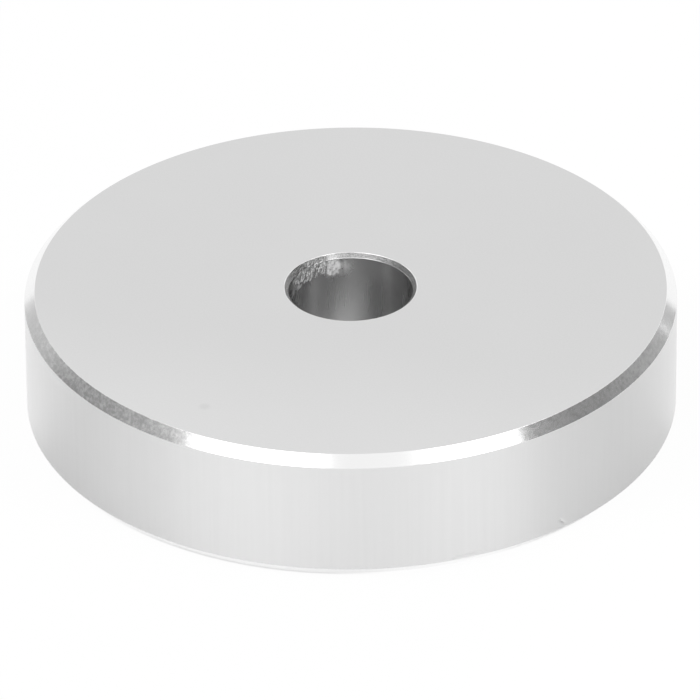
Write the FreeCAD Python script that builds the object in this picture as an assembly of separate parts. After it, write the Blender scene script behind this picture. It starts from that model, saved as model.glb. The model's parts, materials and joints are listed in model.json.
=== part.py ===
"""Record spindle adapter: a plain aluminium puck, turned from bar in one piece.

The wall fills the large centre hole of a seven inch record and the bore slides over a turntable's spindle.
Both ends are alike, so the puck can be used either way up. Millimetres, +Z along the bore axis,
origin in the middle of the underside.
"""

import os

import FreeCAD
import Part

# Driving dimensions
BODY_DIAMETER = 38.1
BODY_HEIGHT = 8.0
RIM_CHAMFER = 0.6
BORE_DIAMETER = 7.25
BORE_CHAMFER = 0.25

AXIS_POINT = FreeCAD.Vector(0, 0, 0)
AXIS_DIRECTION = FreeCAD.Vector(0, 0, 1)
FULL_TURN = 360


def half_section():
    """The turned profile on one side of the axis, as a closed face in the XZ plane."""
    wall = BODY_DIAMETER / 2
    bore = BORE_DIAMETER / 2
    top = BODY_HEIGHT
    outline = [
        (bore + BORE_CHAMFER, 0),
        (wall - RIM_CHAMFER, 0),
        (wall, RIM_CHAMFER),
        (wall, top - RIM_CHAMFER),
        (wall - RIM_CHAMFER, top),
        (bore + BORE_CHAMFER, top),
        (bore, top - BORE_CHAMFER),
        (bore, BORE_CHAMFER),
    ]
    corners = [FreeCAD.Vector(radius, 0, height) for radius, height in outline]
    return Part.Face(Part.makePolygon(corners + corners[:1]))


def adapter_body():
    """The whole puck: the half section turned once round the bore axis."""
    return half_section().revolve(AXIS_POINT, AXIS_DIRECTION, FULL_TURN)


os.makedirs("parts", exist_ok=True)
adapter_body().exportStep("parts/adapter_body.step")
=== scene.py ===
"""Looks of the record spindle adapter: a turned aluminium puck on a white table in plain studio light."""

import json
import math
import random

import bmesh
import bpy
from mathutils import Matrix, Vector, noise
from mathutils.kdtree import KDTree


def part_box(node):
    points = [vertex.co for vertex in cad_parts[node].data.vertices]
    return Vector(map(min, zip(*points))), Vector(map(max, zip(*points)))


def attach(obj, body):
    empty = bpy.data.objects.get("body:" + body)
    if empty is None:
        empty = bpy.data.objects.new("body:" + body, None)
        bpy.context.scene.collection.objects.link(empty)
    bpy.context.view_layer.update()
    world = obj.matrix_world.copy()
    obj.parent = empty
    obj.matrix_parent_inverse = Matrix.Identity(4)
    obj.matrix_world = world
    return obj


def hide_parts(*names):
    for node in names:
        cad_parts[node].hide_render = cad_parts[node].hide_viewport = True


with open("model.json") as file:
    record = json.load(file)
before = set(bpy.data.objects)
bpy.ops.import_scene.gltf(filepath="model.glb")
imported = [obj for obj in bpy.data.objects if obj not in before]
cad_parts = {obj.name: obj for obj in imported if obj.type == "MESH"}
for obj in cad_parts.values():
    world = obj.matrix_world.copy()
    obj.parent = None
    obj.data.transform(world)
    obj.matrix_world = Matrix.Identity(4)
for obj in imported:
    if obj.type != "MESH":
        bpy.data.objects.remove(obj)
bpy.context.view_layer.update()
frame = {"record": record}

# Adapter body
# A puck turned from aluminium bar in one piece: faced, turned to fit a record's large hole, and reamed
# through for the spindle. Every edge carries a cut chamfer, and its sharp corners are only just broken.
millimetre = 0.001
fits = {mount["name"]: mount["dims"] for mount in frame["record"]["mounts"]}
wall_radius = fits["record_rim"]["r_mm"] * millimetre
bore_radius = fits["spindle_bore"]["r_mm"] * millimetre
middle_radius = (bore_radius + wall_radius) / 2
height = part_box("adapter_body")[1].z
rim_chamfer = (height - fits["record_rim"]["length_mm"] * millimetre) / 2
bore_chamfer = (height - fits["spindle_bore"]["length_mm"] * millimetre) / 2
rim_break = 0.012 * millimetre
bore_break = 0.03 * millimetre
break_segments = 3
long_side_cuts = 4
turning_steps = 720
smooth_below = math.radians(5)


def select(kind, wanted):
    """Selects the wanted vertices, edges or faces of the piece in hand, each judged with its place."""
    bpy.ops.mesh.select_mode(type=kind)
    bpy.ops.mesh.select_all(action="DESELECT")
    mesh = bmesh.from_edit_mesh(bpy.context.edit_object.data)
    for part in {"VERT": mesh.verts, "EDGE": mesh.edges, "FACE": mesh.faces}[kind]:
        if kind == "FACE":
            place = part.calc_center_median()
        elif kind == "EDGE":
            place = (part.verts[0].co + part.verts[1].co) / 2
        else:
            place = part.co
        part.select_set(wanted(part, place))
    mesh.select_flush_mode()
    bmesh.update_edit_mesh(bpy.context.edit_object.data)


# The section on one side of the axis is a plain rectangle, whose corners are chamfered and then broken.
bpy.ops.object.select_all(action="DESELECT")
bpy.ops.mesh.primitive_plane_add(
    size=1,
    location=(middle_radius, 0, height / 2),
    rotation=(math.pi / 2, 0, 0),
)
adapter = bpy.context.object
adapter.name = "turned_adapter"
adapter.dimensions = (wall_radius - bore_radius, height, 0)
bpy.ops.object.transform_apply(location=True, rotation=True, scale=True)

bpy.ops.object.mode_set(mode="EDIT")
for side, chamfer, corner_break in ((1, rim_chamfer, rim_break), (-1, bore_chamfer, bore_break)):
    for cut, segments in ((chamfer, 1), (corner_break, break_segments)):
        select("VERT", lambda corner, place: side * (place.x - middle_radius) > 0)
        bpy.ops.mesh.bevel(offset_type="ABSOLUTE", offset=cut, segments=segments, affect="VERTICES")

# Only its outline is kept, with the long sides divided, and turned once round the axis.
bpy.ops.mesh.select_all(action="SELECT")
bpy.ops.mesh.delete(type="ONLY_FACE")
select("EDGE", lambda edge, place: edge.calc_length() > height / 2)
bpy.ops.mesh.subdivide(number_cuts=long_side_cuts)
bpy.ops.mesh.select_all(action="SELECT")
bpy.ops.mesh.spin(steps=turning_steps, angle=2 * math.pi, center=(0, 0, 0), axis=(0, 0, 1))
bpy.ops.mesh.select_all(action="SELECT")
bpy.ops.mesh.normals_make_consistent(inside=False)
bpy.ops.object.mode_set(mode="OBJECT")
bpy.ops.object.shade_smooth_by_angle(angle=smooth_below)


class ShaderValue:
    """A value in a node tree: its operators add Math nodes, and node() adds any other node."""

    def __init__(self, tree, socket=None):
        self.tree = tree
        self.socket = socket

    def node(self, kind, settings, inputs, output=0):
        """Adds a node with its settings and its inputs, and gives one of its outputs."""
        made = self.tree.nodes.new("ShaderNode" + kind)
        for name, value in settings.items():
            setattr(made, name, value)
        for name, value in inputs.items():
            if isinstance(value, ShaderValue):
                self.tree.links.new(value.socket, made.inputs[name])
            else:
                made.inputs[name].default_value = value
        return ShaderValue(self.tree, made.outputs[output])

    def math(self, operation, *values):
        return self.node("Math", {"operation": operation}, dict(enumerate(values)))

    def __add__(self, other):
        return self.math("ADD", self, other)

    __radd__ = __add__

    def __sub__(self, other):
        return self.math("SUBTRACT", self, other)

    def __rsub__(self, other):
        return self.math("SUBTRACT", other, self)

    def __mul__(self, other):
        return self.math("MULTIPLY", self, other)

    __rmul__ = __mul__

    def size(self):
        """This value without its sign."""
        return self.math("ABSOLUTE", self)

    def larger(self, other):
        """The larger of this value and another."""
        return self.math("MAXIMUM", self, other)

    def ramp(self, start, end):
        """Rises smoothly from 0 at start to 1 at end."""
        settings = {"interpolation_type": "SMOOTHSTEP"}
        inputs = {"Value": self, "From Min": start, "From Max": end, "To Min": 0.0, "To Max": 1.0}
        return self.node("MapRange", settings, inputs)

    def noise(self, stretch, detail=2.0):
        """Noise around this place, about -1 to 1, with so many grains to a metre along each axis."""
        scaled = self.node("VectorMath", {"operation": "MULTIPLY"}, {0: self, 1: stretch})
        inputs = {"Vector": scaled, "Scale": 1.0, "Detail": detail, "Roughness": 0.6}
        return (self.node("TexNoise", {}, inputs) - 0.5) * 4

    def along(self, direction):
        """How far this place lies along a direction."""
        return self.node("VectorMath", {"operation": "DOT_PRODUCT"}, {0: self, 1: direction}, "Value")

    def distance(self, point):
        """How far this place is from a point."""
        return self.node("VectorMath", {"operation": "DISTANCE"}, {0: self, 1: point}, "Value")

    def carried(self, name):
        """The value that the vertices of the piece carry under a name."""
        return self.node("Attribute", {"attribute_name": name}, {}, "Fac")


def aluminium(name):
    """Adds a bare aluminium finish to the puck, and gives its shader and the place that its pattern reads."""
    material = bpy.data.materials.new(name)
    material.use_nodes = True
    shader = material.node_tree.nodes["Principled BSDF"]
    shader.inputs["Metallic"].default_value = 1.0
    adapter.data.materials.append(material)
    return shader, ShaderValue(material.node_tree).node("TexCoord", {}, {}, "Object")


def feed(shader, **values):
    """Sets the shader's sockets, named in lower case with underscores, to numbers or links values to them."""
    for name, value in values.items():
        socket = shader.inputs[name.replace("_", " ").title()]
        if isinstance(value, ShaderValue):
            value.tree.links.new(value.socket, socket)
        else:
            socket.default_value = value


def around(angle, radius, up):
    """A place by its radius, its height, and its angle in degrees from the front towards the right."""
    return Vector((radius * math.sin(math.radians(angle)), -radius * math.cos(math.radians(angle)), up))


# Directions, with the front towards the lens.
to_right = (1, 0, 0)
to_left = (-1, 0, 0)
to_front = (0, -1, 0)
to_back = (0, 1, 0)
to_top = (0, 0, 1)
to_foot = (0, 0, -1)

# The two faces are satin, with painted light that makes them a shade brighter towards the front left, and a
# faint smudge on top near the rim.
satin_tone = 0.678
satin_roughness = 0.38
painted_light_side = around(-13, 1, 0)
smudge_place = around(-32.5, 15.65 * millimetre, height)
smudge_core = 0.1 * millimetre
smudge_reach = 0.45 * millimetre

shader, place = aluminium("satin_face")
grain = place.noise((9000, 9000, 9000))
clouds = place.noise((90, 90, 90))
# Painted light: the faces are painted a shade brighter towards the front left.
painted_light = place.along(painted_light_side).ramp(wall_radius / 4, wall_radius)
smudge = 1 - place.distance(smudge_place).ramp(smudge_core, smudge_reach)
feed(
    shader,
    base_color=satin_tone + 0.04 * painted_light + 0.006 * clouds + 0.016 * grain - 0.05 * smudge,
    roughness=satin_roughness + 0.03 * grain,
)

# The wall is finely turned, so it spreads light up and down more than round. It has faint upright streaks,
# and a clear film over it adds a soft gloss.
wall_tone = 0.797
wall_roughness = 0.44

shader, place = aluminium("turned_wall")
streaks = place.noise((3000, 3000, 60))
feed(
    shader,
    base_color=wall_tone + 0.013 * streaks,
    roughness=wall_roughness + 0.02 * streaks,
    anisotropic=0.86,
    anisotropic_rotation=0.25,
    coat_weight=0.9,
    coat_roughness=0.3,
)

# The chamfers at the rim are cut bright, a shade darker in the middle of the front and back. Handling has
# mottled them at the front left and front right, and has dulled the upper one at the front left, where its
# lower half is pitted most.
chamfer_tone = 0.945
chamfer_roughness = 0.135
darker_at = 1 * millimetre

shader, place = aluminium("cut_chamfer")
rightward = place.along(to_right)
forward = place.along(to_front)
upward = place.along(to_top)
upper = upward.ramp(height / 2, height * 0.6)
lower_half = 1 - upward.ramp(height - 0.5 * millimetre, height - 0.15 * millimetre)
darker = 1 - (rightward - darker_at).size().ramp(1.5 * millimetre, 5.5 * millimetre)
handled = forward.ramp(0, 11 * millimetre) * rightward.size().ramp(8 * millimetre, 10.5 * millimetre)
front_left = forward.ramp(0, 2.5 * millimetre) * place.along(to_left).ramp(-2 * millimetre, 8 * millimetre)
dulled = upper * front_left
patches = place.noise((1200, 1200, 1200))
spots = place.noise((5500, 3300, 5500), detail=3.0)
pits = (spots + 0.4 * patches + 0.3 * lower_half * dulled).ramp(-1.0, 0.9)
feed(
    shader,
    base_color=chamfer_tone - 0.06 * darker - 0.18 * dulled - 0.34 * handled * (pits - 0.5),
    roughness=chamfer_roughness + 0.03 * dulled,
)

# The bore is reamed, a darker finish with faint upright streaks. At the back, painted light makes it brighter
# towards both sides, and right of the middle painted shade darkens it, more so further down. It is flecked
# where it is torn, and frosted where it is bruised.
bore_tone = 0.57
bore_roughness = 0.27
worn_brighter = 0.43
worn_rougher = 0.5

shader, place = aluminium("reamed_bore")
rightward = place.along(to_right)
downward = place.along(to_foot)
streaks = place.noise((6000, 6000, 300))
flecks = place.noise((5000, 5000, 5000))
frost = place.noise((6000, 6000, 6000), detail=3.0)
right_side = rightward.ramp(0.7 * bore_radius, bore_radius)
left_side = place.along(to_left).ramp(0.5 * bore_radius, bore_radius)
# Painted light: brighter towards both sides at the back.
painted_light_sides = (right_side + left_side) * place.along(to_back).ramp(0, millimetre)
# Painted shade right of the middle, deeper further down.
painted_shade_start = rightward.ramp(0.8 * millimetre, 1.7 * millimetre)
painted_shade_end = 1 - rightward.ramp(2.4 * millimetre, 3.3 * millimetre)
painted_shade = painted_shade_start * painted_shade_end * downward.ramp(0.6 * millimetre - height, 2.2 * millimetre - height)
torn = place.carried("torn") * (0.85 + 0.9 * flecks)
bruised = place.carried("bruised")
frosted = (bruised * (1 + 0.75 * frost)).ramp(0, 1.25)
worn = worn_brighter * torn.larger(0.25 * bruised + 0.75 * frosted)
feed(
    shader,
    base_color=bore_tone + 0.2 * painted_light_sides - 0.12 * painted_shade + 0.004 * streaks + worn,
    roughness=bore_roughness + 0.006 * streaks + worn_rougher * torn.larger(frosted * frosted),
    anisotropic=0.6,
    anisotropic_rotation=0.25,
)

# The chamfers of the bore were cut with a chattering tool, and are duller towards the right. Tearing has
# darkened them, and the bruise has rubbed them paler.
bore_edge_tone = 0.39
bore_edge_roughness = 0.42

shader, place = aluminium("bore_edge")
speckle = place.noise((14000, 14000, 14000))
duller = place.along(to_right).ramp(-bore_radius, bore_radius)
marred = 0.15 * place.carried("bruised") - 0.5 * place.carried("torn")
feed(
    shader,
    base_color=bore_edge_tone - 0.13 * duller + 0.22 * speckle + marred,
    roughness=bore_edge_roughness + 0.08 * speckle,
)

# Their corners are rubbed bright, except where they are torn.
corner_tone = 0.85
corner_roughness = 0.2

shader, place = aluminium("rubbed_corner")
speckle = place.noise((700, 700, 700))
feed(
    shader,
    base_color=corner_tone + 0.2 * speckle - 1.8 * place.carried("torn"),
    roughness=corner_roughness + 0.06 * speckle,
)

# Each face takes its finish from how level it is and from which side of the section it is on.
slack = math.radians(3)
level = math.cos(slack)
upright = math.sin(slack)
chamfer_slope = math.sin(math.radians(45))
for face in adapter.data.polygons:
    outside = face.center.xy.length > middle_radius
    levelness = abs(face.normal.z)
    if levelness > level:
        finish = "satin_face"
    elif levelness < upright:
        finish = "turned_wall" if outside else "reamed_bore"
    elif outside:
        finish = "cut_chamfer"
    elif abs(levelness - chamfer_slope) < upright:
        finish = "bore_edge"
    else:
        finish = "rubbed_corner"
    face.material_index = adapter.data.materials.find(finish)


def angle_of(place):
    """The angle of a place in degrees, from the front round by the left: -90 there, and -180 at the back."""
    return math.degrees(math.atan2(place.x, -place.y)) % 360 - 360


def climbs(edge):
    """Whether an edge rises at more than 30 degrees."""
    return abs(edge.verts[0].co.z - edge.verts[1].co.z) > edge.calc_length() / 2


def push(centre, reach, spread, move):
    """Moves the vertices within reach of a place, and those within the spread round them by less and less."""
    select("VERT", lambda corner, place: (place - centre).length < reach)
    bpy.ops.transform.translate(
        value=move,
        use_proportional_edit=True,
        proportional_edit_falloff="SMOOTH",
        proportional_size=spread,
    )


def unrolled(angle, depth):
    """A place on the wall of the bore, by its angle and its depth under the top, as if the wall lay flat."""
    return Vector((math.radians(angle) * bore_radius, depth))


def fade(value, start, end):
    """Rises smoothly from 0 at start to 1 at end."""
    share = min(max((value - start) / (end - start), 0), 1)
    return share * share * (3 - 2 * share)


# Spindles pushed in off centre have scuffed the mouth of the bore at the back left, with fine scores that lie
# flatter towards the left and steeper towards the back.
scuff_from = -186
scuff_to = -96
scuff_depth = 1.6 * millimetre
scores_from = -156
scores_to = -106
score_count = 120
score_points = 20
score_seed = 4
steepest_score = 95
flattest_score = 20
score_scatter = 14
score_lengths = (0.06 * millimetre, 0.34 * millimetre)
score_shallowest = 0.32 * millimetre
score_deepest = 1.0 * millimetre
score_deeper_left = 0.5 * millimetre


def scuffed(place):
    """Whether a place lies in the scuffed stretch of the bore and its upper chamfer."""
    in_mouth = place.xy.length < bore_radius + bore_chamfer and place.z > height - scuff_depth
    return in_mouth and scuff_from < angle_of(place) < scuff_to


chance = random.Random(score_seed)
score_tree = KDTree(score_count * score_points)
for score in range(score_count):
    share = chance.random()
    lean = steepest_score + (flattest_score - steepest_score) * share
    slope = math.radians(lean + chance.uniform(-score_scatter, score_scatter))
    line = chance.uniform(*score_lengths) * Vector((math.cos(slope), math.sin(slope)))
    depth = chance.uniform(score_shallowest, score_deepest + score_deeper_left * share)
    first = unrolled(scores_from + (scores_to - scores_from) * share, depth) - line / 2
    for point in range(score_points):
        score_tree.insert((first + line * point / (score_points - 1)).to_3d(), score)
score_tree.balance()


def from_scores(place):
    """How far a place in the bore is from the nearest score."""
    return score_tree.find(unrolled(angle_of(place), height - place.z).to_3d())[2]


# The edges that climb there are divided finely, the long ones of the wall more than the short ones of the
# chamfer, and each score is then sunk in two steps, the second one narrower.
wall_edges = (1.0 * millimetre, 8.0 * millimetre, 30)
chamfer_edges = (0.1 * millimetre, 1.0 * millimetre, 6)
score_half_widths = (0.034 * millimetre, 0.02 * millimetre)
score_step = 0.012 * millimetre
score_widening = 1 + score_step / bore_radius

bpy.ops.object.mode_set(mode="EDIT")
for shortest, longest, cuts in (wall_edges, chamfer_edges):
    select("EDGE", lambda edge, place: (
        scuffed(place) and climbs(edge) and shortest < edge.calc_length() < longest
    ))
    bpy.ops.mesh.subdivide(number_cuts=cuts)
select("FACE", lambda face, place: scuffed(place))
bpy.ops.mesh.subdivide(number_cuts=1)
for half_width in score_half_widths:
    select("VERT", lambda corner, place: scuffed(place) and from_scores(place) < half_width)
    bpy.ops.transform.resize(value=(score_widening, score_widening, 1), center_override=(0, 0, 0))

# Beside the scores, towards the back, they have bruised it: the bruise is taller than wide, with a fainter
# and wider rub to its right. Each row is a spot of it, with its angle, its depth under the top, its reach and
# its strength, and the first two are dented.
bruises = (
    (-163, 0.45 * millimetre, 0.62 * millimetre, 1.0),
    (-165, 0.8 * millimetre, 0.62 * millimetre, 1.0),
    (-161, 1.05 * millimetre, 0.55 * millimetre, 0.85),
    (-172, 0.75 * millimetre, 1.05 * millimetre, 0.6),
)
dents = bruises[:2]
dent_depth = 0.008 * millimetre
dent_core = 0.1 * millimetre
dent_spread = 0.35 * millimetre
for angle, depth, _, _ in dents:
    dent = around(angle, bore_radius, height - depth)
    push(dent, dent_core, dent_spread, dent_depth * around(angle, 1, 0))

# A knock has nicked the wall near the foot, and another has crushed the lower edge a little. Each row is one
# mark of a knock, with its angle, and its height and depth in millimetres.
nick_marks = (
    (38.75, 1.2, 0.04),
    (38.95, 1.08, 0.09),
    (39.3, 0.99, 0.05),
    (39.7, 0.92, 0.03),
)
crushed_marks = (
    (18.0, 0.68, 0.04),
    (18.9, 0.68, 0.05),
    (19.8, 0.68, 0.05),
    (20.7, 0.68, 0.05),
    (21.6, 0.68, 0.05),
    (22.5, 0.68, 0.04),
)
mark_core = 0.04 * millimetre
edge_margin = 0.4 * millimetre
knock_edge_cuts = 12
knock_face_cuts = 2


def knock(angle, up, reach, spread, marks):
    """Divides the wall within reach of a place, and presses marks into it that each spread a little."""
    centre = around(angle, wall_radius, up)
    select("EDGE", lambda edge, place: (place - centre).length < reach + edge_margin and climbs(edge))
    bpy.ops.mesh.subdivide(number_cuts=knock_edge_cuts)
    select("FACE", lambda face, place: (place - centre).length < reach)
    bpy.ops.mesh.subdivide(number_cuts=knock_face_cuts)
    for mark_angle, mark_up, mark_depth in marks:
        mark = around(mark_angle, wall_radius, mark_up * millimetre)
        inward = -mark_depth * millimetre * around(mark_angle, 1, 0)
        push(mark, mark_core, spread, inward)


knock(
    angle=39.1,
    up=1.05 * millimetre,
    reach=0.5 * millimetre,
    spread=0.1 * millimetre,
    marks=nick_marks,
)
knock(
    angle=20.2,
    up=0.65 * millimetre,
    reach=1.0 * millimetre,
    spread=0.26 * millimetre,
    marks=crushed_marks,
)
bpy.ops.object.mode_set(mode="OBJECT")

# The metal round the scores is torn, most at the mouth, and crushed on the chamfer. The tearing fades out at
# both ends of the scuff. Each pair here is the angles over which something sets in, grows or ends.
tear_sets_in = (-162, -155)
tear_ends = (-122, -102)
tear_deepens = (-150, -110)
fraying_sets_in = (-135, -112)
crushing_sets_in = (-138, -129)
crushing_ends = (-119, -111)
scores_weaken = (-145, -125)
tear_depth = 1.1 * millimetre
tear_deeper_left = 0.3 * millimetre
tear_raggedness = 0.2 * millimetre
tear_grain = 0.3 * millimetre
spared_edge = 0.05 * millimetre
score_core = 0.012 * millimetre
score_reach = 0.05 * millimetre
bruise_core = 0.15 * millimetre


def along_scuff(angle):
    """How far the scuff is torn at an angle: wholly in its middle, and not at its ends."""
    return fade(angle, *tear_sets_in) * (1 - fade(angle, *tear_ends))


def tear(place):
    """How far the metal is torn up at a place, down to a ragged line that lies deeper towards the left."""
    angle = angle_of(place)
    depth = height - place.z
    ragged = tear_raggedness * noise.noise(place / tear_grain)
    deepest = tear_depth + tear_deeper_left * fade(angle, *tear_deepens) + ragged
    return along_scuff(angle) * (1 - fade(depth, deepest / 2, deepest))


def torn_share(place):
    """How torn a place looks: crushed on the chamfer, and frayed or scored on the wall."""
    angle = angle_of(place)
    if height - place.z < bore_chamfer + bore_break:
        crushed = fade(angle, *crushing_sets_in) * (1 - fade(angle, *crushing_ends))
        return (0.08 + 0.22 * crushed) * along_scuff(angle)
    frayed = 0.06 + 0.03 * fade(angle, *fraying_sets_in)
    scored = 0.9 * (1 - fade(from_scores(place), score_core, score_reach))
    weaker = 1 - 0.3 * fade(angle, *scores_weaken)
    return max(frayed * tear(place), scored * along_scuff(angle) * weaker)


def bruised_share(place):
    """How bruised a place looks, from all the spots of the bruise together."""
    here = unrolled(angle_of(place), height - place.z)
    spared = 1
    for angle, depth, reach, strength in bruises:
        from_spot = (here - unrolled(angle, depth)).length
        spared *= 1 - strength * (1 - fade(from_spot, bruise_core, reach))
    return 1 - spared


tear_group = adapter.vertex_groups.new(name="scuff")
torn_shares = [0.0] * len(adapter.data.vertices)
bruised_shares = [0.0] * len(adapter.data.vertices)
for vertex in adapter.data.vertices:
    if scuffed(vertex.co):
        below_edge = fade(height - vertex.co.z, 0, spared_edge)
        tear_group.add([vertex.index], tear(vertex.co) * below_edge, "REPLACE")
        torn_shares[vertex.index] = torn_share(vertex.co)
        bruised_shares[vertex.index] = bruised_share(vertex.co)
adapter.data.attributes.new("torn", "FLOAT", "POINT").data.foreach_set("value", torn_shares)
adapter.data.attributes.new("bruised", "FLOAT", "POINT").data.foreach_set("value", bruised_shares)

# The torn metal is left in fine ridges, with hollows of up to 0.03 mm between them.
torn_metal = bpy.data.textures.new("torn_metal", "MUSGRAVE")
torn_metal.musgrave_type = "RIDGED_MULTIFRACTAL"
torn_metal.noise_scale = 0.13 * millimetre
torn_metal.octaves = 3
bpy.ops.object.modifier_add(type="DISPLACE")
tearing = adapter.modifiers[-1]
tearing.texture = torn_metal
tearing.texture_coords = "LOCAL"
tearing.vertex_group = "scuff"
tearing.mid_level = 0.9
tearing.strength = 0.03 * millimetre
bpy.ops.object.modifier_apply(modifier=tearing.name)

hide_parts("adapter_body")
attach(adapter, "root")

# Table
# A plain white table top, matte, on which the puck stands loose. A share of it glows white to the lens and to
# the metal, so that both see it pale, and the rest keeps the puck's soft shadow, with painted shadow and
# painted light added to its colour.
table_size = 6
foot_radius = wall_radius - rim_chamfer
bpy.ops.object.select_all(action="DESELECT")
bpy.ops.mesh.primitive_plane_add(size=table_size)
table = bpy.context.object
table.name = "table_top"
white = bpy.data.materials.new("white_table")
white.use_nodes = True
tree = white.node_tree
shader = tree.nodes["Principled BSDF"]
place = ShaderValue(tree).node("TexCoord", {}, {}, "Object")
from_axis = place.node("VectorMath", {"operation": "LENGTH"}, {0: place}, "Value")
rightward = place.along(to_right)
forward = place.along(to_front)

# The lens sees it white, apart from a thin contact shadow along the left half of the foot.
lens_white = 0.97
contact_depth = 0.6
shaded = place.along(to_left).ramp(-2.5 * millimetre, 3 * millimetre)
at_foot = 1 - from_axis.ramp(foot_radius + 0.05 * millimetre, foot_radius + 0.22 * millimetre)
contact = at_foot * shaded * rightward.ramp(-17 * millimetre, -8 * millimetre)
lens_glow = lens_white - contact_depth * contact

# The metal sees it greyer in front, most on the left, and nearly white behind, less so further away. Under
# the overhang of the lower chamfer it is pale, whitest right of the middle, and greyer further right.
front_white = 0.5
back_white = 0.92
edge_white = 0.8
far = from_axis.ramp(wall_radius + 2 * millimetre, wall_radius + 7 * millimetre)
behind = place.along(to_back).ramp(-8 * millimetre, 0)
under_edge = 1 - from_axis.ramp(foot_radius + 0.3 * millimetre, wall_radius)
whiter = rightward.ramp(0, 3 * millimetre)
greyer = rightward.ramp(7 * millimetre, 14 * millimetre)
front_glow = front_white - 0.35 * shaded
back_glow = (back_white - 0.16 * far) * behind
edge_glow = (edge_white + 0.2 * whiter - 0.75 * greyer) * under_edge
open_glow = front_glow.larger(back_glow).larger(edge_glow)

# Inside the foot it glows only in a stripe, where light comes down the bore, and wider towards the front.
stripe_white = 0.55
stripe_at = 0.7 * millimetre
covered = from_axis.math("LESS_THAN", from_axis, foot_radius - 0.2 * millimetre)
closer = 1 - 0.8 * forward.ramp(0.8 * millimetre, 3 * millimetre)
from_stripe = (rightward - stripe_at).size() * closer
stripe_glow = stripe_white - stripe_white * from_stripe.ramp(0.3 * millimetre, 1.8 * millimetre)
metal_glow = open_glow + (stripe_glow - open_glow) * covered

# The matte part carries painted shadow, duller close round the puck and out to both sides, hardly so in
# front, and painted light that makes it paler on the right.
table_tone = 0.9
near = 1 - from_axis.ramp(wall_radius, wall_radius + 8 * millimetre)
beside = 1 - forward.ramp(8 * millimetre, 16 * millimetre)
outer = rightward.size().ramp(17 * millimetre, 26 * millimetre)
paler = rightward.ramp(3 * millimetre, 12 * millimetre)
# Painted shadow round the puck and out to both sides, deepened on the right near the puck.
duller = (0.03 + (0.14 + 0.1 * paler) * beside) * near + 0.1 * outer * beside
shader.inputs["Specular IOR Level"].default_value = 0.0
# Painted light makes the table paler on the right, and the painted shadow is taken off the tone.
feed(shader, base_color=table_tone + 0.06 * paler - duller, roughness=1.0)

to_lens = place.node("LightPath", {}, {}, "Is Camera Ray")
through_glass = place.node("LightPath", {}, {}, "Is Transmission Ray")
to_metal = place.node("LightPath", {}, {}, "Is Glossy Ray")
glow_share = lens_glow * (to_lens + through_glass) + metal_glow * to_metal
matte = ShaderValue(tree, shader.outputs["BSDF"])
glow = place.node("Emission", {}, {"Color": (1, 1, 1, 1), "Strength": 1.0})
surface = place.node("MixShader", {}, {0: glow_share, 1: matte, 2: glow})
tree.links.new(surface.socket, tree.nodes["Material Output"].inputs["Surface"])
table.data.materials.append(white)

# Studio light
# A white tent all round, two softboxes overhead to the left and right of the lens, and grey felt flags on
# each side that give the chamfers their dark stretches. The lens sees neither the softboxes nor the flags.
world = bpy.data.worlds.new("white_tent")
bpy.context.scene.world = world
world.use_nodes = True
world.node_tree.nodes["Background"].inputs["Color"].default_value = (1, 1, 1, 1)
world.node_tree.nodes["Background"].inputs["Strength"].default_value = 1.0

# Each row gives a softbox its left and right edge, and its watts to a square metre.
softbox_height = 0.8
softbox_front = -0.85
softbox_back = 0.1
for name, left, right, brightness in (
    ("left_softbox", -0.715, -0.125, 4.45),
    ("right_softbox", 0.305, 0.723, 5.4),
):
    softbox_place = ((left + right) / 2, (softbox_front + softbox_back) / 2, softbox_height)
    bpy.ops.object.light_add(type="AREA", location=softbox_place)
    softbox = bpy.context.object
    softbox.name = name
    softbox.data.shape = "RECTANGLE"
    softbox.data.size = right - left
    softbox.data.size_y = softbox_back - softbox_front
    softbox.data.energy = brightness * softbox.data.size * softbox.data.size_y
    softbox.visible_camera = False

# Each row gives a flag its side, its front and back edge, its height, its tone at the front and at the back,
# and where it turns from the one to the other.
flag_distance = 0.75
for name, side, front, back, tall, dark, pale, dark_until, pale_from in (
    ("left_flag", -1, -0.4, 0.7, 1.0, 0.4, 0.75, 0.25, 0.58),
    ("left_back_flag", -1, 0.7, 1.1, 0.3, 0.78, 0.88, 0.8, 1.05),
    ("right_flag", 1, -0.4, 0.685, 1.0, 0.18, 0.5, -0.1, 0.8),
    ("right_back_flag", 1, 0.722, 0.95, 0.5, 0.22, 0.575, 0.0, 0.8),
):
    flag_place = (side * flag_distance, (front + back) / 2, tall / 2)
    bpy.ops.mesh.primitive_plane_add(size=1, location=flag_place, rotation=(0, math.pi / 2, 0))
    flag = bpy.context.object
    flag.name = name
    flag.dimensions = (tall, back - front, 0)
    bpy.ops.object.transform_apply(location=True, rotation=True, scale=True)
    flag.visible_camera = False
    felt = bpy.data.materials.new(name + "_felt")
    felt.use_nodes = True
    place = ShaderValue(felt.node_tree).node("TexCoord", {}, {}, "Object")
    felt_tone = dark + (pale - dark) * place.along(to_back).ramp(dark_until, pale_from)
    feed(felt.node_tree.nodes["Principled BSDF"], base_color=felt_tone, roughness=1.0)
    flag.data.materials.append(felt)

# Camera
# A long lens, well above the table, aimed at the middle of the puck and rolled by a hair.
aim = Vector((-0.068, 0, 3.645)) * millimetre
camera_distance = 574.9 * millimetre
camera_elevation = math.radians(31.44)
camera_roll = math.radians(-0.474)
bpy.ops.object.camera_add()
camera = bpy.context.object
camera.data.lens = 504.76
camera.data.sensor_width = 36
camera.data.clip_end = 20
to_camera = Vector((0, -math.cos(camera_elevation), math.sin(camera_elevation)))
camera.location = aim + camera_distance * to_camera
tilt = Matrix.Rotation(math.pi / 2 - camera_elevation, 3, "X")
camera.rotation_euler = (tilt @ Matrix.Rotation(camera_roll, 3, "Z")).to_euler()
bpy.context.scene.camera = camera
bpy.context.scene.view_settings.view_transform = "Standard"
